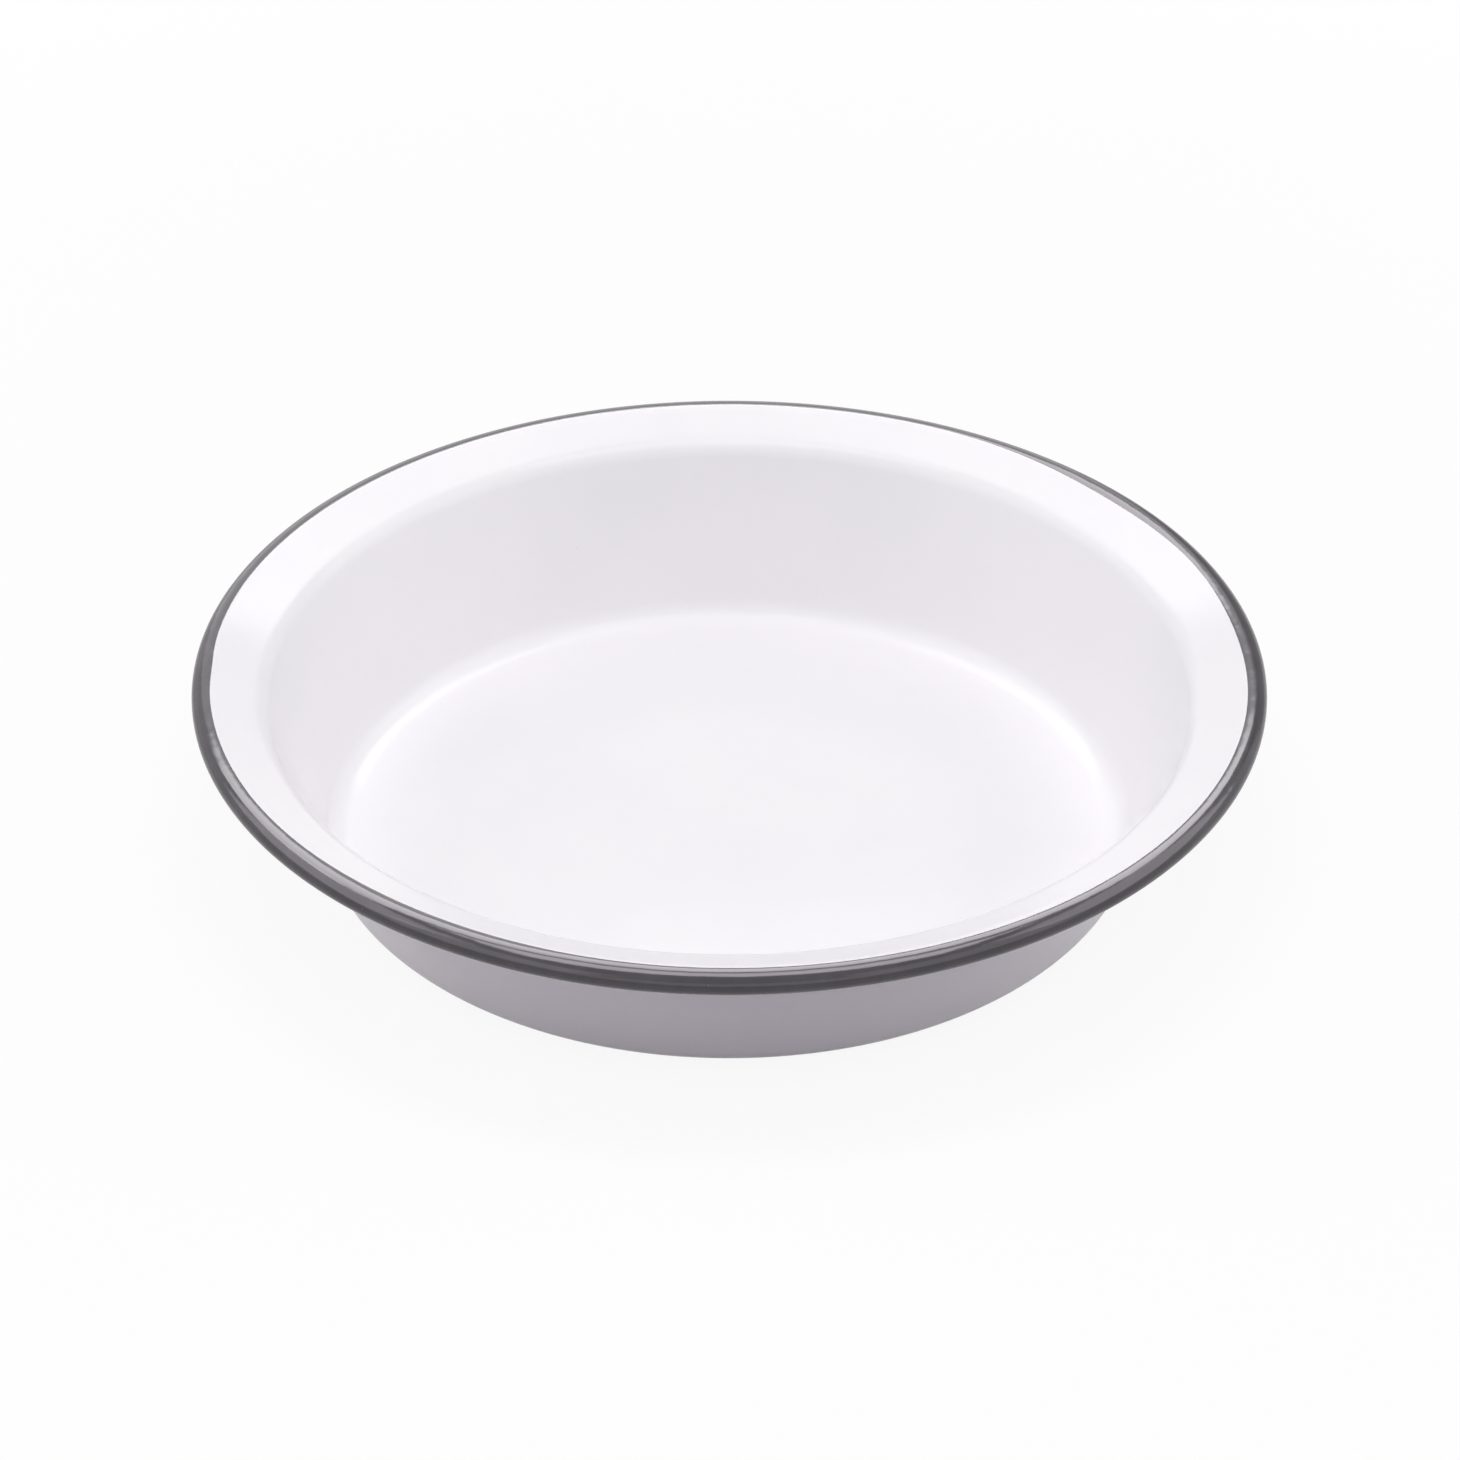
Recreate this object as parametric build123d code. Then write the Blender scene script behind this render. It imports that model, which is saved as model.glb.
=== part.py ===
from build123d import *
import math
import os

# Round pie dish of enamelled sheet steel, in millimetres, +Z up.
# The origin is the centre of the flat base, so the dish stands on Z = 0.
# The sheet is pressed into a flat floor, a leaning wall and a rising flange, and its edge is rolled
# outwards and under into a hollow bead. Enamel covers it in three layers: a ground coat on the steel,
# white over that, and a dark band over the bead. Every piece is turned about Z from one section.

# Sizes over the finished enamel. The flange's width runs from the rim's edge to where the lines of
# the flange and the wall meet in the middle of the sheet. The width of the flat base follows from these.
rim_diameter = 260.0
overall_height = 48.0
flange_width = 17.0
base_corner_radius = 8.15
shoulder_radius = 6.2
crest_radius = 4.2
lip_radius = 2.55

# Angles: the wall from upright, the flange from level, and on the bead the tilts from straight up
# where the crest hands over to the lip and where the dark band starts
wall_lean = math.radians(20.5)
flange_rise = math.radians(21)
crest_turn = math.radians(50)
band_start = math.radians(-12)

# Sheet, coats and the gap left at the sheared edge inside the rolled bead
steel_thickness = 0.6
ground_coat_thickness = 0.12
cover_coat_thickness = 0.15
curl_gap = 0.3

# Distances from the middle of the sheet to each face of the coats
steel_face = steel_thickness / 2
ground_face = steel_face + ground_coat_thickness
finished_face = ground_face + cover_coat_thickness

half_turn = math.pi
quarter_turn = math.pi / 2


def direction(tilt):
    """Unit vector in the section, at a tilt from straight up that is positive outwards."""
    return Vector(math.sin(tilt), math.cos(tilt))


def meeting_point(point_a, along_a, point_b, along_b):
    """Where two straight lines of the section cross."""
    apart = point_b - point_a
    share = apart.cross(along_b).Z / along_a.cross(along_b).Z
    return point_a + along_a * share


def angle_between(side_a, side_b, far_side):
    """Angle of a triangle between two of its sides."""
    return math.acos((side_a ** 2 + side_b ** 2 - far_side ** 2) / (2 * side_a * side_b))


class Bend:
    """One bend of the sheet: its centre, the radius of the sheet's middle and the tilts it runs between.

    side is 1 where the upper face is the outside of the bend and -1 where it is the inside.
    """

    def __init__(self, centre, middle_radius, side, first_tilt, last_tilt):
        self.centre = centre
        self.middle_radius = middle_radius
        self.side = side
        self.first_tilt = first_tilt
        self.last_tilt = last_tilt

    def point(self, offset, tilt):
        return self.centre + direction(tilt) * (self.middle_radius + self.side * offset)

    def first(self, offset):
        return self.point(offset, self.first_tilt)

    def last(self, offset):
        return self.point(offset, self.last_tilt)

    def arc(self, offset):
        middle = self.point(offset, (self.first_tilt + self.last_tilt) / 2)
        return ThreePointArc(self.first(offset), middle, self.last(offset))

    def part(self, first_tilt, last_tilt):
        return Bend(self.centre, self.middle_radius, self.side, first_tilt, last_tilt)


# The rolled edge stops short of the flange's underside by the curl gap, which enamel bridges.
centres_apart = crest_radius - lip_radius
edge_radius = lip_radius - finished_face + steel_face
curl_reach = crest_radius - 2 * finished_face - curl_gap
curl_end = crest_turn + half_turn + angle_between(edge_radius, centres_apart, curl_reach)


def rim_bends():
    """The two bends of the bead: the crest at the top of the flange and the lip rolled under it."""
    across = direction(crest_turn) * centres_apart
    crest_height = overall_height - crest_radius
    lip_centre = Vector(rim_diameter / 2 - lip_radius, crest_height + across.Y)
    crest_middle = crest_radius - finished_face
    lip_middle = lip_radius - finished_face
    crest_bend = Bend(lip_centre - across, crest_middle, 1, -flange_rise, crest_turn)
    return crest_bend, Bend(lip_centre, lip_middle, 1, crest_turn, curl_end)


def wall_bends(flange_end):
    """The bends below and above the wall, tangent to it, to the level base and to the flange."""
    inner_side = wall_lean - quarter_turn
    edge = Vector(rim_diameter / 2 - flange_width, 0)
    flange_line = direction(-flange_rise - quarter_turn)
    corner = meeting_point(flange_end, flange_line, edge, direction(0))

    shoulder_middle = shoulder_radius - finished_face
    turn = -flange_rise - inner_side
    reach = shoulder_middle / math.cos(turn / 2)
    shoulder_centre = corner - direction(inner_side + turn / 2) * reach
    upper = Bend(shoulder_centre, shoulder_middle, 1, inner_side, -flange_rise)

    base_middle = base_corner_radius - finished_face
    beside_wall = corner + direction(inner_side) * base_middle
    level = Vector(0, base_corner_radius)
    base_centre = meeting_point(beside_wall, direction(wall_lean), level, direction(quarter_turn))
    lower = Bend(base_centre, base_middle, -1, half_turn, quarter_turn + wall_lean)
    return lower, upper


crest, lip = rim_bends()
base_corner, shoulder = wall_bends(crest.first(0))

# Every layer's crest is cut where the band starts, so that faces that touch have the same edges.
crest_white = crest.part(-flange_rise, band_start)
crest_band = crest.part(band_start, crest_turn)
to_band = [base_corner, shoulder, crest_white]
to_lip = to_band + [crest_band]
to_edge = to_lip + [lip]


def face_line(bends, offset, from_axis):
    """Edges of one face of a coat along the bends, with its first and last points."""
    edges = []
    here = bends[0].first(offset)
    if from_axis:
        here = Vector(0, here.Y)
    first = here
    for bend in bends:
        start = bend.first(offset)
        if (start - here).length > finished_face / 1000:
            edges.append(Line(here, start))
        edges.append(bend.arc(offset))
        here = bend.last(offset)
    return edges, first, here


def layer(bends, low, high, from_axis=True):
    """Section of the sheet or of a coat, between two distances from the middle of the sheet."""
    low_edges, low_first, low_last = face_line(bends, low, from_axis)
    high_edges, high_first, high_last = face_line(bends, high, from_axis)
    ends = [Line(low_first, high_first), Line(low_last, high_last)]
    return make_face(low_edges + high_edges + ends)


def bridge():
    """Section of the enamel that closes the bead, from the rolled edge to the flange's underside."""
    past_edge = lip.part(curl_end, crest_turn + 2 * half_turn)
    reach = layer([past_edge], steel_face, finished_face, from_axis=False)
    return reach - layer(to_lip, -finished_face, finished_face)


def turned(section):
    """The section turned a full circle about the dish's axis, with its cuts kept as edges."""
    return revolve(Plane.XZ * section, Axis.Z, clean=False)


def steel_pressing():
    return turned(layer(to_edge, -steel_face, steel_face))


def ground_coat_inner():
    return turned(layer(to_edge, steel_face, ground_face))


def ground_coat_outer():
    return turned(layer(to_edge, -ground_face, -steel_face))


def inner_enamel():
    return turned(layer(to_band, ground_face, finished_face))


def outer_enamel():
    return turned(layer(to_lip, -finished_face, -ground_face))


def rim_enamel():
    band = layer([crest_band, lip], ground_face, finished_face, from_axis=False)
    return turned(band + bridge())


pieces = {
    "steel_pressing": steel_pressing(),
    "ground_coat_inner": ground_coat_inner(),
    "ground_coat_outer": ground_coat_outer(),
    "inner_enamel": inner_enamel(),
    "outer_enamel": outer_enamel(),
    "rim_enamel": rim_enamel(),
}

os.makedirs("parts", exist_ok=True)
for name, piece in pieces.items():
    export_step(piece, f"parts/{name}.step")
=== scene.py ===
import math

import bpy
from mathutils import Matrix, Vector


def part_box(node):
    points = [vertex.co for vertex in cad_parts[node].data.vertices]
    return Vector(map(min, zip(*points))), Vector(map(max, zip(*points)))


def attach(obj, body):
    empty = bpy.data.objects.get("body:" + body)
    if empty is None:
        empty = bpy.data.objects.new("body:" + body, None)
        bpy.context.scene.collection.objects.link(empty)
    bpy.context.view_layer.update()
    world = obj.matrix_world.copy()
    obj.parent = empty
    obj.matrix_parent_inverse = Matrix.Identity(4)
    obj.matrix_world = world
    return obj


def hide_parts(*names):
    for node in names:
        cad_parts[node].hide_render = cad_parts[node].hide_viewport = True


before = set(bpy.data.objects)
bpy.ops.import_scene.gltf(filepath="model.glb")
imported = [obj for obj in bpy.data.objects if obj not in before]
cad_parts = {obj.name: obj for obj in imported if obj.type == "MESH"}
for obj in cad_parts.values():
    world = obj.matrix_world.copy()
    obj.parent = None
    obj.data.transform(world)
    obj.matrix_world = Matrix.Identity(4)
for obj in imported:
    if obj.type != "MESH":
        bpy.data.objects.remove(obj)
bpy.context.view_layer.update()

bl_info = {
    "name": "Enamelled pie dish",
    "version": (1, 0, 0),
    "blender": (4, 5, 0),
    "location": "3D View > Sidebar > Pie dish",
    "description": "Models the enamel of a round pie dish around its pressed sheet, and a studio for it",
    "category": "Object",
}

MM = 0.001
DEGREE = math.pi / 180
QUARTER_TURN = math.pi / 2
HALF_TURN = math.pi
FULL_TURN = 2 * math.pi

# Points closer than this are one point.
MERGE_DISTANCE = 0.001 * MM

WHITE = (1.0, 1.0, 1.0)

# Refraction of the white enamel and the ground coat, and of the dark enamel
ENAMEL_IOR = 1.5
DARK_IOR = 1.65
# The white enamel mirrors less than clear glass would, because it scatters light right under its face.
WHITE_MIRROR = 0.15

# The floor's own colour, how much of it shows in the enamel's gloss, and the distances from the dish's
# axis, in metres, up to which its shading shows in full and from which it doesn't show
FLOOR_WHITE = (0.9, 0.9, 0.9)
FLOOR_IN_GLOSS = 0.5
SHADING_FULL = 0.2
SHADING_GONE = 0.6

# Inputs and output of a Mix node that mixes colours
MIX_FACTOR, MIX_FIRST, MIX_SECOND, MIX_RESULT = 0, 6, 7, 2


def lowest(node):
    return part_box(node)[0].z


def widest(node):
    """Radius of a round CAD node, as its box has it on its narrower side."""
    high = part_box(node)[1]
    return min(high.x, high.y)


# The coats, read from the heights of their lower faces in the middle of the base
COVER_COAT = lowest("ground_coat_outer")
GROUND_COAT = lowest("steel_pressing") - COVER_COAT
SHEET = lowest("ground_coat_inner") - lowest("steel_pressing")
RIM_RADIUS = widest("rim_enamel")
RIM_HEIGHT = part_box("rim_enamel")[1].z


class PieDishShape(bpy.types.PropertyGroup):
    """Sizes of the dish over its finished enamel."""

    rim_radius: bpy.props.FloatProperty(
        name="Rim radius", description="Outermost radius of the rolled bead", default=RIM_RADIUS,
        unit="LENGTH",
    )
    rim_height: bpy.props.FloatProperty(
        name="Rim height", description="Height of the top of the bead over the base", default=RIM_HEIGHT,
        unit="LENGTH",
    )
    flange_width: bpy.props.FloatProperty(
        name="Flange width", description="From the rim's edge to where the lines of flange and wall meet",
        default=17.0 * MM, unit="LENGTH",
    )
    base_corner_radius: bpy.props.FloatProperty(
        name="Base corner", description="Outer radius of the bend between base and wall",
        default=8.15 * MM, unit="LENGTH",
    )
    shoulder_radius: bpy.props.FloatProperty(
        name="Shoulder", description="Upper radius of the bend between wall and flange",
        default=6.2 * MM, unit="LENGTH",
    )
    crest_radius: bpy.props.FloatProperty(
        name="Crest", description="Radius over the top of the bead", default=4.2 * MM, unit="LENGTH",
    )
    lip_radius: bpy.props.FloatProperty(
        name="Lip", description="Radius of the bead where it rolls under", default=2.55 * MM, unit="LENGTH",
    )
    wall_lean: bpy.props.FloatProperty(
        name="Wall lean", description="Lean of the wall from upright", default=20.5 * DEGREE, subtype="ANGLE",
    )
    flange_rise: bpy.props.FloatProperty(
        name="Flange rise", description="Rise of the flange from level", default=21 * DEGREE, subtype="ANGLE",
    )
    crest_turn: bpy.props.FloatProperty(
        name="Crest turn", description="Tilt at which the crest hands over to the lip", default=50 * DEGREE,
        subtype="ANGLE",
    )
    band_start: bpy.props.FloatProperty(
        name="Band start", description="Tilt on the crest at which the dark band starts",
        default=-12 * DEGREE, subtype="ANGLE",
    )
    segments: bpy.props.IntProperty(
        name="Segments", description="Steps round the dish", default=360, min=24,
    )


class PieDishFinish(bpy.types.PropertyGroup):
    """Colours and gloss of the enamels and of what lies under them."""

    white: bpy.props.FloatVectorProperty(
        name="White", description="White cover enamel", default=(0.885, 0.864, 0.893), subtype="COLOR",
        min=0, max=1,
    )
    white_cloud: bpy.props.FloatVectorProperty(
        name="White, clouded", description="White enamel where the coat is a little thinner",
        default=(0.865, 0.846, 0.878), subtype="COLOR", min=0, max=1,
    )
    scuff: bpy.props.FloatVectorProperty(
        name="Scuffs", description="Grey that shelves leave on the flat base",
        default=(0.62, 0.61, 0.63), subtype="COLOR", min=0, max=1,
    )
    dark: bpy.props.FloatVectorProperty(
        name="Dark", description="Dark grey enamel of the rim", default=(0.025, 0.0215, 0.0275),
        subtype="COLOR", min=0, max=1,
    )
    dark_cloud: bpy.props.FloatVectorProperty(
        name="Dark, clouded", description="Dark enamel where the band is a little thinner",
        default=(0.041, 0.036, 0.045), subtype="COLOR", min=0, max=1,
    )
    dark_gloss: bpy.props.FloatVectorProperty(
        name="Dark, gloss", description="Tint of the dark enamel's gloss", default=(0.99, 0.94, 1.0),
        subtype="COLOR", min=0, max=1,
    )
    pinhole: bpy.props.FloatVectorProperty(
        name="Pinholes", description="Specks where gas broke through the glaze", default=(0.25, 0.24, 0.25),
        subtype="COLOR", min=0, max=1,
    )
    ground: bpy.props.FloatVectorProperty(
        name="Ground coat", description="First coat, fired on the steel", default=(0.012, 0.014, 0.03),
        subtype="COLOR", min=0, max=1,
    )
    ground_bubble: bpy.props.FloatVectorProperty(
        name="Ground coat bubbles", description="Bubbles in the ground coat", default=(0.05, 0.055, 0.08),
        subtype="COLOR", min=0, max=1,
    )
    steel: bpy.props.FloatVectorProperty(
        name="Steel", description="Pressed sheet", default=(0.52, 0.52, 0.53), subtype="COLOR", min=0, max=1,
    )
    steel_scale: bpy.props.FloatVectorProperty(
        name="Steel, scaled", description="Firing scale on the sheet", default=(0.30, 0.29, 0.30),
        subtype="COLOR", min=0, max=1,
    )
    gloss: bpy.props.FloatProperty(
        name="Enamel roughness", description="Roughness of fired enamel at its smoothest", default=0.1,
        min=0, max=1,
    )


class PieDishStudio(bpy.types.PropertyGroup):
    """Camera, lamps and floor."""

    camera_distance: bpy.props.FloatProperty(
        name="Camera distance", description="From the rim's centre along the view", default=1.5,
        unit="LENGTH",
    )
    camera_height_angle: bpy.props.FloatProperty(
        name="Camera elevation", description="How steeply the camera looks down", default=33.31 * DEGREE,
        subtype="ANGLE",
    )
    rim_over_axis: bpy.props.FloatProperty(
        name="Rim over axis", description="How far the rim's centre lies over the middle of the picture",
        default=15.37 * MM, unit="LENGTH",
    )
    dish_left_of_axis: bpy.props.FloatProperty(
        name="Dish left of axis", description="How far the dish lies left of the middle of the picture",
        default=0.16 * MM, unit="LENGTH",
    )
    lens: bpy.props.FloatProperty(
        name="Lens", description="Focal length on a 36 mm sensor, in millimetres", default=152.8,
    )
    floor: bpy.props.FloatVectorProperty(
        name="Floor", description="Floor as it lights the dish", default=(0.62, 0.588, 0.64), subtype="COLOR",
        min=0, max=1,
    )
    shadow_share: bpy.props.FloatProperty(
        name="Shadow share", description="How much of the floor's own shading shows", default=0.1,
        min=0, max=1,
    )
    lamps: bpy.props.FloatProperty(
        name="Lamps", description="Level of all the soft panels that light the dish", default=1.0, min=0,
    )
    gleam: bpy.props.FloatProperty(
        name="Gleam", description="Level of the cards that only shine in the glossy enamel", default=1.0,
        min=0,
    )


def direction(tilt):
    """Unit vector in the section, at a tilt from straight up that is positive outwards."""
    return Vector((math.sin(tilt), math.cos(tilt)))


def angle_between(side_a, side_b, far_side):
    """Angle of a triangle between two of its sides."""
    return math.acos((side_a ** 2 + side_b ** 2 - far_side ** 2) / (2 * side_a * side_b))


def meeting_point(point_a, along_a, point_b, along_b):
    """Where two straight lines of the section cross."""
    share = (point_b - point_a).cross(along_b) / along_a.cross(along_b)
    return point_a + along_a * share


class Bend:
    """One bend of the sheet, with the tilts that it runs between.

    side is 1 where the upper face is the outside of the bend and -1 where it is the inside.
    """

    def __init__(self, centre, middle_radius, side, first_tilt, last_tilt):
        self.centre = centre
        self.middle_radius = middle_radius
        self.side = side
        self.first_tilt = first_tilt
        self.last_tilt = last_tilt

    def radius(self, offset):
        return self.middle_radius + self.side * offset

    def point(self, offset, tilt):
        return self.centre + direction(tilt) * self.radius(offset)

    def part(self, first_tilt, last_tilt):
        return Bend(self.centre, self.middle_radius, self.side, first_tilt, last_tilt)

    def back(self):
        return self.part(self.last_tilt, self.first_tilt)


class Section:
    """The dish's section: the bends of its sheet and the distances of the coats' faces from its middle."""

    def __init__(self, shape):
        self.shape = shape
        self.steel_face = SHEET / 2
        self.ground_face = self.steel_face + GROUND_COAT
        self.finished_face = self.ground_face + COVER_COAT

        self.centres_apart = shape.crest_radius - shape.lip_radius
        across = direction(shape.crest_turn) * self.centres_apart
        crest_height = shape.rim_height - shape.crest_radius
        lip_centre = Vector((shape.rim_radius - shape.lip_radius, crest_height + across.y))
        crest_middle = shape.crest_radius - self.finished_face
        lip_middle = shape.lip_radius - self.finished_face
        self.crest = Bend(lip_centre - across, crest_middle, 1, -shape.flange_rise, shape.crest_turn)
        closed = self.tilt_where_bead_closes(shape.lip_radius)
        self.lip = Bend(lip_centre, lip_middle, 1, shape.crest_turn, closed)

        inner_side = shape.wall_lean - QUARTER_TURN
        flange_line = direction(-shape.flange_rise - QUARTER_TURN)
        edge = Vector((shape.rim_radius - shape.flange_width, 0))
        corner = meeting_point(self.crest.point(0, -shape.flange_rise), flange_line, edge, direction(0))
        shoulder_middle = shape.shoulder_radius - self.finished_face
        half_bend = (-shape.flange_rise - inner_side) / 2
        reach = shoulder_middle / math.cos(half_bend)
        shoulder_centre = corner - direction(inner_side + half_bend) * reach
        self.shoulder = Bend(shoulder_centre, shoulder_middle, 1, inner_side, -shape.flange_rise)

        base_middle = shape.base_corner_radius - self.finished_face
        beside_wall = corner + direction(inner_side) * base_middle
        level = Vector((0, shape.base_corner_radius))
        base_centre = meeting_point(beside_wall, direction(shape.wall_lean), level, direction(QUARTER_TURN))
        wall_side = QUARTER_TURN + shape.wall_lean
        self.base_corner = Bend(base_centre, base_middle, -1, HALF_TURN, wall_side)

    def tilt_where_bead_closes(self, radius):
        """Tilt at which a circle round the lip's centre meets the underside of the flange."""
        underside = self.shape.crest_radius - 2 * self.finished_face
        return self.shape.crest_turn + HALF_TURN + angle_between(radius, self.centres_apart, underside)

    def crest_to(self, last_tilt):
        return self.crest.part(self.crest.first_tilt, last_tilt)

    def on_axis(self, offset):
        """The point of a face in the middle of the base."""
        return Vector((0, self.base_corner.point(offset, HALF_TURN).y))


class Outline:
    """A line drawn in the XZ plane in edit mode: its runs are extruded and its bends are spun."""

    FLOOR_STEP = 12 * MM
    FLANGE_STEP = 1 * MM
    BEND_STEP = 4 * DEGREE
    FINE_STEP = 1 * DEGREE
    # Faces that meet at a smaller angle are shaded as one.
    SMOOTH_UP_TO = 35 * DEGREE

    def __init__(self, name, start):
        bpy.ops.object.select_all(action="DESELECT")
        bpy.ops.mesh.primitive_plane_add(size=MM, enter_editmode=True)
        bpy.context.object.name = name
        bpy.context.object.data.name = name
        bpy.ops.mesh.merge(type="CENTER")
        bpy.ops.transform.translate(value=(start.x, 0, start.y))
        self.here = start

    def run(self, end, step):
        """Extrudes straight on to a point."""
        count = max(1, math.ceil((end - self.here).length / step))
        move = (end - self.here) / count
        for _ in range(count):
            bpy.ops.mesh.extrude_region_move(TRANSFORM_OT_translate={"value": (move.x, 0, move.y)})
        self.here = end

    def bend(self, bend, offset, step):
        """Spins round a bend, after a straight run to where it starts."""
        start = bend.point(offset, bend.first_tilt)
        if (start - self.here).length > MERGE_DISTANCE:
            self.run(start, self.FLOOR_STEP)
        turn = bend.last_tilt - bend.first_tilt
        bpy.ops.mesh.spin(
            steps=math.ceil(abs(turn) / step), angle=turn,
            center=(bend.centre.x, 0, bend.centre.y), axis=(0, -1, 0),
        )
        self.here = bend.point(offset, bend.last_tilt)

    def turn_about_axis(self, segments):
        """Spins the whole outline a full circle about the dish's axis and shades it smooth."""
        bpy.ops.mesh.select_all(action="SELECT")
        bpy.ops.mesh.remove_doubles(threshold=MERGE_DISTANCE)
        bpy.ops.mesh.select_all(action="SELECT")
        bpy.ops.mesh.spin(steps=segments, angle=FULL_TURN, center=(0, 0, 0), axis=(0, 0, 1))
        bpy.ops.mesh.select_all(action="SELECT")
        bpy.ops.mesh.remove_doubles(threshold=MERGE_DISTANCE)
        bpy.ops.mesh.normals_make_consistent(inside=False)
        bpy.ops.object.mode_set(mode="OBJECT")
        bpy.ops.object.shade_smooth_by_angle(angle=self.SMOOTH_UP_TO)
        return bpy.context.object


class HandLaidEdge:
    """The line on the crest where white meets dark, which a hand laid a little off its circle.

    Distances along the surface count from the band's nominal start and are positive outwards.
    """

    # Where the line strays: degrees round the dish, half width in degrees, and millimetres, which are
    # negative inwards
    STRAYS = (
        (124, 17, -1.05), (180, 4, -0.35), (321, 15, -1.5), (350, 14, -1.0), (60, 25, 0.15), (196, 14, 0.2),
    )
    # The whole line lies this far outwards of its circle as well.
    EVERYWHERE = 0.22 * MM
    # Points up to this far from the line along the surface, and from the surface, move with it.
    REACH = 4.0 * MM
    SKIN = 3 * COVER_COAT
    # How far the finished face sinks at the line, and how far from it that starts in the dark and in
    # the white
    STEP_DOWN = 0.035 * MM
    ROUNDING = 0.35 * MM
    DIP = 1.2 * MM

    def __init__(self, section):
        self.crest = section.crest
        self.radius = section.shape.crest_radius
        self.start = section.shape.band_start
        self.level = self.crest.first_tilt
        self.flange_start = (self.start - self.level) * self.radius

    def stray(self, angle):
        """How far the line lies off its circle at an angle that runs from the right towards the front."""
        total = self.EVERYWHERE
        for middle, half_width, amount in self.STRAYS:
            apart = (angle - middle * DEGREE + HALF_TURN) % FULL_TURN - HALF_TURN
            total += amount * MM * math.exp(-(apart / (half_width * DEGREE)) ** 2)
        return total

    def unrolled(self, point):
        """Distance along the surface and height over it, of a point of the section."""
        across = point - self.crest.centre
        tilt = math.atan2(across.x, across.y)
        if tilt >= self.level:
            return (tilt - self.start) * self.radius, across.length - self.radius
        out, along = direction(self.level), direction(self.level + QUARTER_TURN)
        return across.dot(along) - self.flange_start, across.dot(out) - self.radius

    def rolled(self, along, height):
        """The point of the section at a distance along the surface and a height over it."""
        if along >= -self.flange_start:
            tilt = self.start + along / self.radius
            return self.crest.centre + direction(tilt) * (self.radius + height)
        out, ahead = direction(self.level), direction(self.level + QUARTER_TURN)
        rest = along + self.flange_start
        return self.crest.centre + out * (self.radius + height) + ahead * rest

    def lay(self, piece, dark):
        """Moves a piece's points near the line to where the hand laid them, and rounds its edge."""
        for vertex in piece.data.vertices:
            place = vertex.co
            point = Vector((math.hypot(place.x, place.y), place.z))
            if (point - self.crest.centre).length < self.radius - self.SKIN:
                continue
            along, height = self.unrolled(point)
            if abs(along) > self.REACH or abs(height) > self.SKIN:
                continue
            angle = math.atan2(-place.y, place.x)
            fade = (1 - abs(along) / self.REACH) ** 2
            if height > -COVER_COAT / 2:
                height -= self.sunk(abs(along), dark)
            moved = self.rolled(along + self.stray(angle) * fade, height)
            grown = moved.x / point.x
            vertex.co = (place.x * grown, place.y * grown, moved.y)

    def sunk(self, distance, dark):
        """How far the finished face lies under its level, beside the line."""
        reach = self.ROUNDING if dark else self.DIP
        return self.STEP_DOWN * max(0, 1 - distance / reach) ** 2


class Signal:
    """An output of a node. A sum written on it adds its Math nodes."""

    def __init__(self, nodes, socket):
        self.nodes = nodes
        self.socket = socket

    def also(self, output):
        """Another output of the same node."""
        return Signal(self.nodes, self.socket.node.outputs[output])

    def maths(self, operation, first, second):
        return self.nodes.add("ShaderNodeMath", {"operation": operation}, {0: first, 1: second})

    def __add__(self, other):
        return self.maths("ADD", self, other)

    def __sub__(self, other):
        return self.maths("SUBTRACT", self, other)

    def __mul__(self, other):
        return self.maths("MULTIPLY", self, other)

    def __rsub__(self, other):
        return self.maths("SUBTRACT", other, self)

    __radd__ = __add__
    __rmul__ = __mul__


class Nodes:
    """The nodes of a material or of the world."""

    def __init__(self, tree):
        self.tree = tree
        self.tree.nodes.clear()

    def add(self, kind, settings, sockets, output=0):
        """Adds a node with its settings and the values or links of its sockets, and returns one output."""
        node = self.tree.nodes.new(kind)
        for name, value in settings.items():
            setattr(node, name, value)
        for name, value in sockets.items():
            if isinstance(value, Signal):
                self.tree.links.new(value.socket, node.inputs[name])
            else:
                node.inputs[name].default_value = value
        return Signal(self, node.outputs[output]) if node.outputs else None

    def seen_directly(self):
        """1 for rays from the camera, in mirrors and through glass, and 0 for those that light surfaces."""
        camera = self.add("ShaderNodeLightPath", {}, {}, "Is Camera Ray")
        rays = camera + camera.also("Is Glossy Ray") + camera.also("Is Transmission Ray")
        return self.add("ShaderNodeMath", {"operation": "MINIMUM"}, {0: rays, 1: 1.0})


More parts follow.
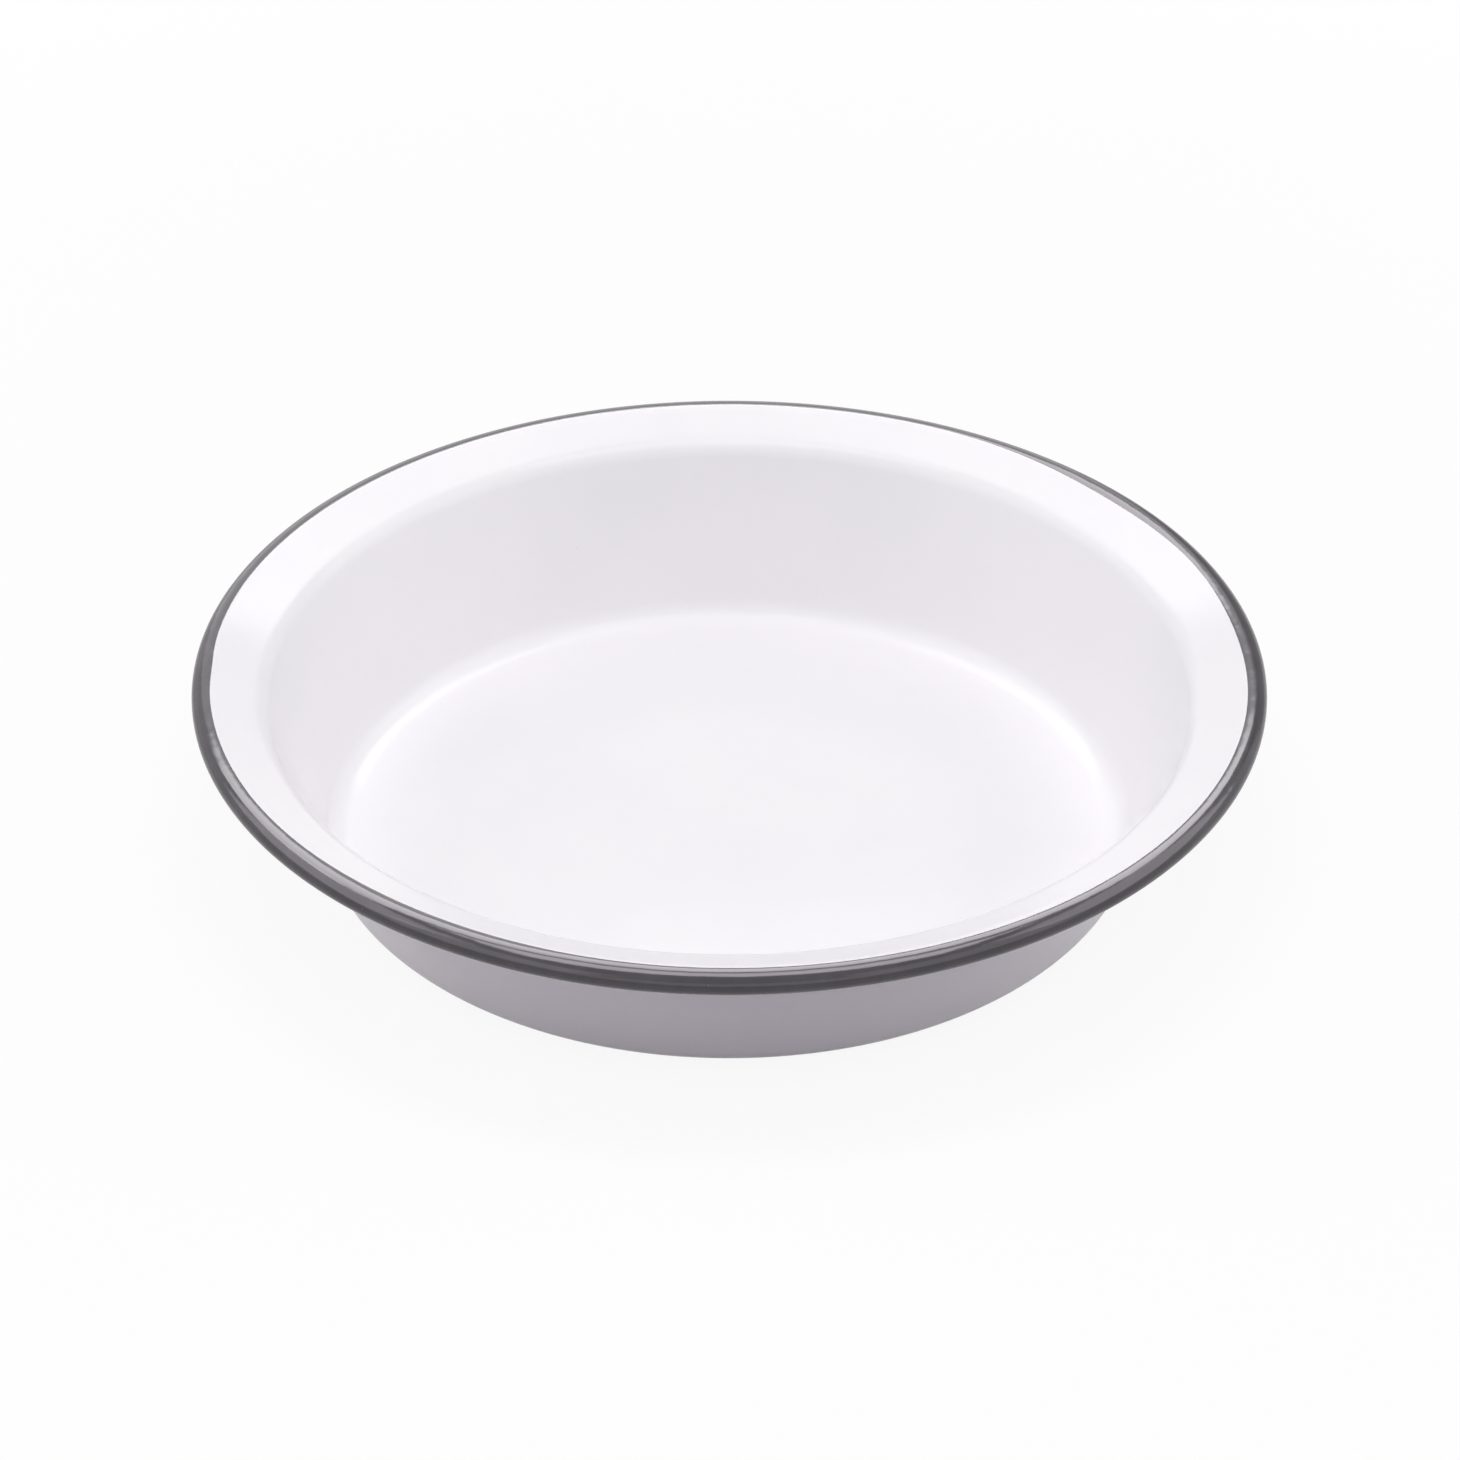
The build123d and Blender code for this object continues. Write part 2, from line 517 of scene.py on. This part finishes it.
class Finish(Nodes):
    """A material and the nodes that give it its look."""

    def __init__(self, name):
        self.material = bpy.data.materials.new(name)
        self.material.use_nodes = True
        super().__init__(self.material.node_tree)

    def place(self):
        return self.add("ShaderNodeTexCoord", {}, {}, "Object")

    def noise(self, width, detail=2.0, place=None):
        """Soft noise from 0 to 1, whose patches are about so wide."""
        sockets = {"Vector": place or self.place(), "Scale": 1 / width, "Detail": detail}
        return self.add("ShaderNodeTexNoise", {}, sockets)

    def specks(self, spacing, size):
        """1 in small round specks and 0 between them."""
        sockets = {"Vector": self.place(), "Scale": 1 / spacing}
        distance = self.add("ShaderNodeTexVoronoi", {}, sockets, "Distance")
        return self.between(distance, size / spacing, size / spacing / 2)

    def between(self, signal, start, end):
        """Goes smoothly from 0 where the signal is at its start to 1 where it is at its end."""
        settings = {"interpolation_type": "SMOOTHSTEP"}
        return self.add("ShaderNodeMapRange", settings, {"Value": signal, "From Min": start, "From Max": end})

    def mixed(self, factor, first, second):
        """A colour between two."""
        sockets = {MIX_FACTOR: factor, MIX_FIRST: opaque(first), MIX_SECOND: opaque(second)}
        return self.add("ShaderNodeMix", {"data_type": "RGBA"}, sockets, MIX_RESULT)

    def bump(self, height):
        """Normal of a surface that stands this many metres over the mesh."""
        return self.add("ShaderNodeBump", {}, {"Height": height, "Distance": 1.0, "Strength": 1.0})

    def surface(self, shader):
        self.add("ShaderNodeOutputMaterial", {}, {"Surface": shader})
        return self.material


def opaque(colour):
    """A colour with its alpha, or the signal that it comes from."""
    return colour if isinstance(colour, Signal) else (*colour, 1.0)


def white_enamel(looks, scuffed_base):
    """Glossy white enamel: faint clouds, orange peel, slow waves and a rare pinhole."""
    finish = Finish("white_enamel_outside" if scuffed_base else "white_enamel_inside")
    clouds = finish.noise(45 * MM, 3.0)
    colour = finish.mixed(finish.between(clouds, 0.3, 0.75), looks.white, looks.white_cloud)
    pinholes = finish.specks(12 * MM, 0.14 * MM)
    colour = finish.mixed(pinholes * 0.5, colour, looks.pinhole)
    roughness = finish.noise(18 * MM) * 0.06 + looks.gloss
    if scuffed_base:
        height = finish.add("ShaderNodeSeparateXYZ", {}, {0: finish.place()}, "Z")
        streaks = finish.between(finish.noise(2.5 * MM, 6.0), 0.5, 0.7)
        scuffs = finish.between(height, 0.25 * MM, 0.02 * MM) * streaks
        colour = finish.mixed(scuffs * 0.35, colour, looks.scuff)
        roughness = roughness + scuffs * 0.25
    waves = finish.noise(26 * MM, 1.0) * (0.03 * MM)
    peel = finish.noise(3.5 * MM, 1.0) * (0.002 * MM)
    normal = finish.bump(waves + peel - pinholes * (0.02 * MM))
    shader = finish.add("ShaderNodeBsdfPrincipled", {}, {
        "Base Color": colour, "Roughness": roughness, "Normal": normal, "IOR": ENAMEL_IOR,
        "Specular IOR Level": WHITE_MIRROR,
    })
    return finish.surface(shader)


def dark_enamel(looks):
    """Glossy dark grey enamel, brushed on: soft lumps along the bead, clouds and pale pinholes."""
    finish = Finish("dark_enamel")
    clouds = finish.noise(9 * MM, 4.0)
    colour = finish.mixed(finish.between(clouds, 0.35, 0.75), looks.dark, looks.dark_cloud)
    pinholes = finish.specks(5 * MM, 0.16 * MM)
    colour = finish.mixed(pinholes, colour, looks.pinhole)
    roughness = finish.noise(6 * MM) * 0.08 + looks.gloss
    lumps = finish.noise(11 * MM, 1.0) * (0.12 * MM) + finish.noise(4.5 * MM, 1.0) * (0.05 * MM)
    peel = finish.noise(1.8 * MM, 1.0) * (0.005 * MM)
    normal = finish.bump(lumps + peel - pinholes * (0.03 * MM))
    shader = finish.add("ShaderNodeBsdfPrincipled", {}, {
        "Base Color": colour, "Roughness": roughness, "Normal": normal, "IOR": DARK_IOR,
        "Specular Tint": opaque(looks.dark_gloss),
    })
    return finish.surface(shader)


def ground_enamel(looks):
    """The first coat: blue-black glass, full of small bubbles."""
    finish = Finish("ground_enamel")
    bubbles = finish.specks(0.9 * MM, 0.3 * MM)
    clouds = finish.between(finish.noise(14 * MM, 4.0), 0.35, 0.7)
    colour = finish.mixed(clouds * 0.4 + bubbles * 0.5, looks.ground, looks.ground_bubble)
    roughness = finish.noise(5 * MM) * 0.2 + 2 * looks.gloss
    normal = finish.bump(bubbles * (0.01 * MM))
    shader = finish.add("ShaderNodeBsdfPrincipled", {}, {
        "Base Color": colour, "Roughness": roughness, "Normal": normal, "IOR": ENAMEL_IOR,
    })
    return finish.surface(shader)


def pressed_steel(looks):
    """Drawn sheet: fine lines from the press tools and patches of firing scale."""
    finish = Finish("pressed_steel")
    scale = finish.between(finish.noise(22 * MM, 5.0), 0.45, 0.7)
    colour = finish.mixed(scale, looks.steel, looks.steel_scale)
    stretch = finish.add("ShaderNodeMapping", {}, {"Vector": finish.place(), "Scale": (1.0, 1.0, 12.0)})
    lines = finish.noise(1.2 * MM, 5.0, stretch)
    roughness = lines * 0.2 + scale * 0.2 + 0.3
    shader = finish.add("ShaderNodeBsdfPrincipled", {}, {
        "Base Color": colour, "Metallic": 1 - scale * 0.6, "Roughness": roughness,
        "Normal": finish.bump(lines * (0.01 * MM)),
    })
    return finish.surface(shader)


def studio_floor(studio):
    """A white sweep that keeps a faint shadow near the dish and throws back less light than it shows."""
    finish = Finish("studio_floor")
    white = finish.add("ShaderNodeEmission", {}, {"Color": opaque(WHITE), "Strength": 1.0})
    own = finish.add("ShaderNodeBsdfDiffuse", {}, {"Color": opaque(FLOOR_WHITE)})
    lighting = finish.add("ShaderNodeBsdfDiffuse", {}, {"Color": opaque(studio.floor)})
    away = finish.add("ShaderNodeVectorMath", {"operation": "LENGTH"}, {0: finish.place()}, "Value")
    mirrored = finish.add("ShaderNodeLightPath", {}, {}, "Is Glossy Ray")
    near = finish.between(away, SHADING_GONE, SHADING_FULL)
    shaded = near * studio.shadow_share + mirrored * FLOOR_IN_GLOSS
    seen = finish.add("ShaderNodeMixShader", {}, {0: shaded, 1: white, 2: own})
    sockets = {0: finish.seen_directly(), 1: lighting, 2: seen}
    return finish.surface(finish.add("ShaderNodeMixShader", {}, sockets))


def facing_dish(away):
    """Rotation of something that stands away from the dish in this direction and looks back at it."""
    return away.to_track_quat("Z", "Y").to_euler()


def coloured(piece, material):
    piece.data.materials.clear()
    piece.data.materials.append(material)


def finish_piece(piece, node, material):
    """Gives a piece its material, hangs it under the root body and hides the CAD node that it stands for."""
    coloured(piece, material)
    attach(piece, "root")
    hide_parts(node)


class InnerEnamel(bpy.types.Operator):
    """Model the white enamel inside the dish, out to the dark band"""

    bl_idname = "pie_dish.inner_enamel"
    bl_label = "White enamel inside"

    def execute(self, context):
        section = Section(context.scene.pie_dish_shape)
        face, back = section.finished_face, section.ground_face
        crest = section.crest_to(section.shape.band_start)
        line = Outline("white_inside", section.on_axis(face))
        line.bend(section.base_corner, face, line.BEND_STEP)
        line.bend(section.shoulder, face, line.BEND_STEP)
        line.run(crest.point(face, crest.first_tilt), line.FLANGE_STEP)
        line.bend(crest, face, line.FINE_STEP)
        line.run(crest.point(back, crest.last_tilt), line.FLANGE_STEP)
        line.bend(crest.back(), back, line.FINE_STEP)
        line.run(section.shoulder.point(back, section.shoulder.last_tilt), line.FLANGE_STEP)
        line.bend(section.shoulder.back(), back, line.BEND_STEP)
        line.bend(section.base_corner.back(), back, line.BEND_STEP)
        line.run(section.on_axis(back), line.FLOOR_STEP)
        piece = line.turn_about_axis(section.shape.segments)
        HandLaidEdge(section).lay(piece, dark=False)
        material = white_enamel(context.scene.pie_dish_finish, scuffed_base=False)
        finish_piece(piece, "inner_enamel", material)
        return {"FINISHED"}


class OuterEnamel(bpy.types.Operator):
    """Model the white enamel under the dish, from the base to inside the rolled bead"""

    bl_idname = "pie_dish.outer_enamel"
    bl_label = "White enamel outside"

    def execute(self, context):
        section = Section(context.scene.pie_dish_shape)
        face, back = -section.finished_face, -section.ground_face
        line = Outline("white_outside", section.on_axis(face))
        for bend in (section.base_corner, section.shoulder, section.crest):
            line.bend(bend, face, line.BEND_STEP)
        line.run(section.crest.point(back, section.crest.last_tilt), line.FLANGE_STEP)
        for bend in (section.crest, section.shoulder, section.base_corner):
            line.bend(bend.back(), back, line.BEND_STEP)
        line.run(section.on_axis(back), line.FLOOR_STEP)
        piece = line.turn_about_axis(section.shape.segments)
        material = white_enamel(context.scene.pie_dish_finish, scuffed_base=True)
        finish_piece(piece, "outer_enamel", material)
        return {"FINISHED"}


class RimEnamel(bpy.types.Operator):
    """Model the dark enamel band over the bead, down to where it closes the rolled edge"""

    bl_idname = "pie_dish.rim_enamel"
    bl_label = "Dark enamel of the rim"

    def execute(self, context):
        section = Section(context.scene.pie_dish_shape)
        face, back, steel = section.finished_face, section.ground_face, section.steel_face
        shape, crest, lip = section.shape, section.crest, section.lip
        fine_end = shape.band_start + HandLaidEdge.ROUNDING * 2 / shape.crest_radius
        inside_end = section.tilt_where_bead_closes(lip.radius(steel))
        start = crest.point(face, shape.band_start)
        line = Outline("dark_rim", start)
        line.bend(crest.part(shape.band_start, fine_end), face, line.FINE_STEP)
        line.bend(crest.part(fine_end, shape.crest_turn), face, line.BEND_STEP)
        line.bend(lip, face, line.BEND_STEP)
        line.run(lip.point(steel, inside_end), line.FLANGE_STEP)
        line.run(lip.point(back, inside_end), line.FLANGE_STEP)
        line.bend(lip.part(inside_end, shape.crest_turn), back, line.BEND_STEP)
        line.bend(crest.part(shape.crest_turn, fine_end), back, line.BEND_STEP)
        line.bend(crest.part(fine_end, shape.band_start), back, line.FINE_STEP)
        line.run(start, line.FLANGE_STEP)
        piece = line.turn_about_axis(shape.segments)
        HandLaidEdge(section).lay(piece, dark=True)
        material = dark_enamel(context.scene.pie_dish_finish)
        finish_piece(piece, "rim_enamel", material)
        return {"FINISHED"}


class SheetAndGround(bpy.types.Operator):
    """Give the pressed sheet and its ground coat, which lie under the enamel, their finishes"""

    bl_idname = "pie_dish.sheet_and_ground"
    bl_label = "Sheet and ground coat"

    def execute(self, context):
        looks = context.scene.pie_dish_finish
        ground = ground_enamel(looks)
        coloured(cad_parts["steel_pressing"], pressed_steel(looks))
        coloured(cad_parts["ground_coat_inner"], ground)
        coloured(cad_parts["ground_coat_outer"], ground)
        return {"FINISHED"}


class Studio(bpy.types.Operator):
    """Set up the floor, the lamps and the camera"""

    bl_idname = "pie_dish.studio"
    bl_label = "Studio"

    FLOOR_SIZE = 20.0
    # The floor lies this far under the base, so that the two faces don't share a plane.
    FLOOR_DROP = 0.05 * MM

    # Millimetres, as the lens
    SENSOR_WIDTH = 36.0

    # Name, azimuth and elevation in degrees, distance, width and height in metres, radiance, and the rays
    # that don't see the panel. Azimuth 0 is behind the dish and 90 is to its right.
    PANELS = (
        ("key", 0, 57, 1.1, 1.1, 0.82, 0.5, ()),
        ("overhead", 0, 90, 1.2, 1.1, 0.5, 4.2, ()),
        ("left", -78, 22, 1.2, 0.95, 0.9, 1.98, ("glossy",)),
        ("right", 80, 22, 1.2, 0.95, 0.9, 1.95, ("glossy",)),
        ("front_left", -130, 30, 1.3, 0.9, 0.8, 0.75, ()),
        ("front_right", 130, 30, 1.3, 0.9, 0.8, 0.55, ()),
        ("front_fill", 180, 48, 1.35, 1.2, 0.8, 1.45, ("glossy",)),
    )
    # Cards that only shine in glossy enamel, in the same order
    GLEAMS = (
        ("gleam", -7, 53, 1.2, 1.62, 0.66, 4.4, ("diffuse",)),
        ("low_gleam", -8, 18, 1.3, 1.0, 0.75, 0.7, ("diffuse",)),
        ("front_gleam", 180, 20, 1.35, 1.6, 0.6, 0.4, ("diffuse",)),
        ("left_gleam", -84, 38, 1.25, 1.0, 0.76, 1.5, ("diffuse",)),
        ("right_gleam", 84, 38, 1.25, 1.0, 0.76, 1.5, ("diffuse",)),
    )
    # The grey card: azimuth and elevation in degrees, distance and side in metres, and its level
    FLAG_PLACE = (33, 12)
    FLAG_DISTANCE = 1.25
    FLAG_SIDE = 0.75
    FLAG_GREY = (0.55, 0.55, 0.55)

    def execute(self, context):
        studio = context.scene.pie_dish_studio
        self.lay_floor(studio)
        self.light_room(context)
        self.stand_flag()
        for panel in self.PANELS:
            self.hang_panel(studio.lamps, *panel)
        for card in self.GLEAMS:
            self.hang_panel(studio.gleam, *card)
        self.place_camera(context, studio)
        context.scene.view_settings.view_transform = "Standard"
        return {"FINISHED"}

    def lay_floor(self, studio):
        bpy.ops.object.select_all(action="DESELECT")
        bpy.ops.mesh.primitive_plane_add(size=self.FLOOR_SIZE, location=(0, 0, -self.FLOOR_DROP))
        floor = bpy.context.object
        floor.name = "floor"
        coloured(floor, studio_floor(studio))

    def light_room(self, context):
        """A white room that shows behind the dish and in its gloss. The panels do the lighting."""
        context.scene.world = bpy.data.worlds.new("room")
        context.scene.world.use_nodes = True
        room = Nodes(context.scene.world.node_tree)
        sockets = {"Color": opaque(WHITE), "Strength": room.seen_directly()}
        room.add("ShaderNodeOutputWorld", {}, {"Surface": room.add("ShaderNodeBackground", {}, sockets)})

    def stand_flag(self):
        """Stands a grey card at the back right, which only shows in the gloss of the rim."""
        away = self.towards(*self.FLAG_PLACE)
        bpy.ops.object.select_all(action="DESELECT")
        bpy.ops.mesh.primitive_plane_add(size=self.FLAG_SIDE, location=away * self.FLAG_DISTANCE)
        flag = bpy.context.object
        flag.name = "flag"
        flag.rotation_euler = facing_dish(away)
        cloth = Finish("flag_cloth")
        grey = cloth.add("ShaderNodeEmission", {}, {"Color": opaque(self.FLAG_GREY)})
        coloured(flag, cloth.surface(grey))
        self.hide(flag, ("camera", "diffuse", "shadow"))

    def hide(self, thing, rays):
        """Keeps these kinds of rays from seeing a thing."""
        for kind in rays:
            setattr(thing, f"visible_{kind}", False)

    def towards(self, azimuth, elevation):
        """Unit vector from the dish towards a place in the studio, from degrees."""
        across, up = azimuth * DEGREE, elevation * DEGREE
        return Vector((math.sin(across) * math.cos(up), math.cos(across) * math.cos(up), math.sin(up)))

    def hang_panel(self, level, name, azimuth, elevation, distance, width, height, radiance, unseen_by):
        """Hangs a soft rectangular lamp that looks at the dish and isn't in the picture itself."""
        away = self.towards(azimuth, elevation)
        bpy.ops.object.light_add(type="AREA", location=away * distance)
        lamp = bpy.context.object
        lamp.name = name
        lamp.rotation_euler = facing_dish(away)
        lamp.data.shape = "RECTANGLE"
        lamp.data.size = width
        lamp.data.size_y = height
        lamp.data.energy = level * radiance * math.pi * width * height
        self.hide(lamp, ("camera", *unseen_by))

    def place_camera(self, context, studio):
        tip = studio.camera_height_angle
        ahead = Vector((0, math.cos(tip), -math.sin(tip)))
        up = Vector((0, math.sin(tip), math.cos(tip)))
        shape = context.scene.pie_dish_shape
        section = Section(shape)
        rim_centre = Vector((0, 0, section.crest.point(section.finished_face, shape.band_start).y))
        place = rim_centre - ahead * studio.camera_distance - up * studio.rim_over_axis
        place.x = studio.dish_left_of_axis
        bpy.ops.object.camera_add(location=place)
        camera = bpy.context.object
        camera.name = "camera"
        camera.rotation_euler = facing_dish(-ahead)
        camera.data.lens = studio.lens
        camera.data.sensor_width = self.SENSOR_WIDTH
        context.scene.camera = camera


class PieDishPanel(bpy.types.Panel):
    """Lists the dish's sizes, its finishes and the steps that build it."""

    bl_idname = "VIEW3D_PT_pie_dish"
    bl_label = "Pie dish"
    bl_space_type = "VIEW_3D"
    bl_region_type = "UI"
    bl_category = "Pie dish"

    def draw(self, context):
        scene = context.scene
        for group in (scene.pie_dish_shape, scene.pie_dish_finish, scene.pie_dish_studio):
            box = self.layout.box()
            for name in group.__annotations__:
                box.prop(group, name)
        for step in STEPS:
            self.layout.operator(step.bl_idname)


STEPS = (InnerEnamel, OuterEnamel, RimEnamel, SheetAndGround, Studio)
GROUPS = {"pie_dish_shape": PieDishShape, "pie_dish_finish": PieDishFinish, "pie_dish_studio": PieDishStudio}


def register():
    for group in GROUPS.values():
        bpy.utils.register_class(group)
    for step in STEPS:
        bpy.utils.register_class(step)
    bpy.utils.register_class(PieDishPanel)
    for name, group in GROUPS.items():
        setattr(bpy.types.Scene, name, bpy.props.PointerProperty(type=group))


def unregister():
    for name in GROUPS:
        delattr(bpy.types.Scene, name)
    bpy.utils.unregister_class(PieDishPanel)
    for step in reversed(STEPS):
        bpy.utils.unregister_class(step)
    for group in GROUPS.values():
        bpy.utils.unregister_class(group)


def main():
    register()
    bpy.ops.pie_dish.inner_enamel()
    bpy.ops.pie_dish.outer_enamel()
    bpy.ops.pie_dish.rim_enamel()
    bpy.ops.pie_dish.sheet_and_ground()
    bpy.ops.pie_dish.studio()


if __name__ == "__main__":
    main()
